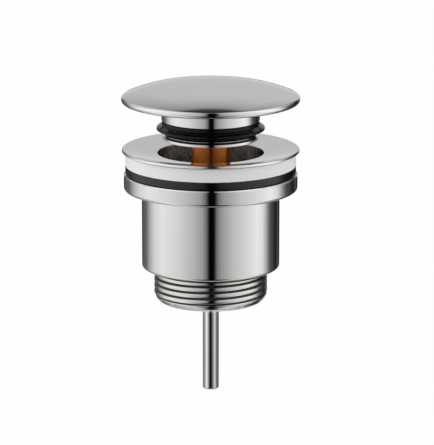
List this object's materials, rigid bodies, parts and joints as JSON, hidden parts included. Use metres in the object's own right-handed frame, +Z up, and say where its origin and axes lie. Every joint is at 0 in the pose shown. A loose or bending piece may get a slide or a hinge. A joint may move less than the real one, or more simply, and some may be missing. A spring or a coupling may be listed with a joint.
{
  "type": "pop-up basin waste",
  "caption": "Push-to-close basin waste: domed plug on a sprung cam cartridge, dished flange, clamped washers and screwed body with threaded tail.",
  "frame": {"origin": "on the axis, at the face of the sealing washer that beds on the basin", "axes": "+Z up along the axis, out of the basin's outlet; X and Y point between the arms of the cross"},
  "size_m": [0.0658, 0.0658, 0.1162],
  "materials": {
    "chrome_flange": "bright nickel-chrome plate on turned brass, polished",
    "chrome_ring": "bright nickel-chrome plate on turned brass, polished",
    "chrome_body": "bright nickel-chrome plate on turned brass, polished",
    "chrome_stem": "bright nickel-chrome plate on turned brass, polished",
    "chrome_neck": "bright nickel-chrome plate on turned brass, polished",
    "chrome_cap": "bright nickel-chrome plate on turned brass, polished",
    "raw_brass": "unplated turned brass, dull",
    "white_silicone": "milky white silicone, satin",
    "black_rubber": "moulded black rubber, slight sheen",
    "black_plastic": "smooth black polyamide",
    "acetal": "moulded natural acetal",
    "stainless": "drawn stainless steel",
    "spring_steel": "stainless spring wire"
  },
  "bodies": {
    "waste": {"flange_throat": "chrome_flange", "sealing_washer": "white_silicone", "cross": "raw_brass", "lock_nut": "raw_brass", "cartridge_barrel": "raw_brass", "guide_bush": "raw_brass", "cam_pins": "stainless", "return_spring": "spring_steel"},
    "stem": {"stem": "chrome_stem", "stem_collar": "raw_brass", "collar_pin": "stainless", "spring_seat": "stainless"},
    "rotor": {"cam_rotor": "acetal"},
    "plug": {"plug_cap": "chrome_cap", "plug_core": "chrome_neck", "plug_clip": "spring_steel", "lip_seal": "black_rubber", "seal_retainer": "chrome_neck"},
    "clamp": {"gasket": "black_rubber", "clamp_ring": "chrome_ring", "slip_washer": "black_plastic"},
    "lower_body": {"lower_body": "chrome_body"}
  },
  "joints": [
    {"name": "plug_slide", "type": "slide", "parent": "waste", "child": "stem", "axis": [0, 0, 1], "range_m": [-0.012, 0], "stiffness_N_per_m": 600, "springref_m": 0.01, "deforming": ["return_spring", "lip_seal"]},
    {"name": "plug_turn", "type": "hinge", "parent": "stem", "child": "plug", "pos_m": [0, 0, 0], "axis": [0, 0, 1], "continuous": true},
    {"name": "rotor_turn", "type": "hinge", "parent": "stem", "child": "rotor", "pos_m": [0, 0, 0], "axis": [0, 0, 1], "range_deg": [-30, 0]},
    {"name": "clamp_slide", "type": "slide", "parent": "waste", "child": "clamp", "axis": [0, 0, 1], "range_m": [-0.02, 0]},
    {"name": "body_screw", "type": "hinge", "parent": "clamp", "child": "lower_body", "pos_m": [0, 0, 0], "axis": [0, 0, 1], "range_deg": [-3118.3, 0]}
  ],
  "couplings": [
    {"joint": "rotor_turn", "follows": "plug_slide", "rad_per_m": 43.633},
    {"joint": "body_screw", "follows": "clamp_slide", "rad_per_m": 2721.2}
  ]
}
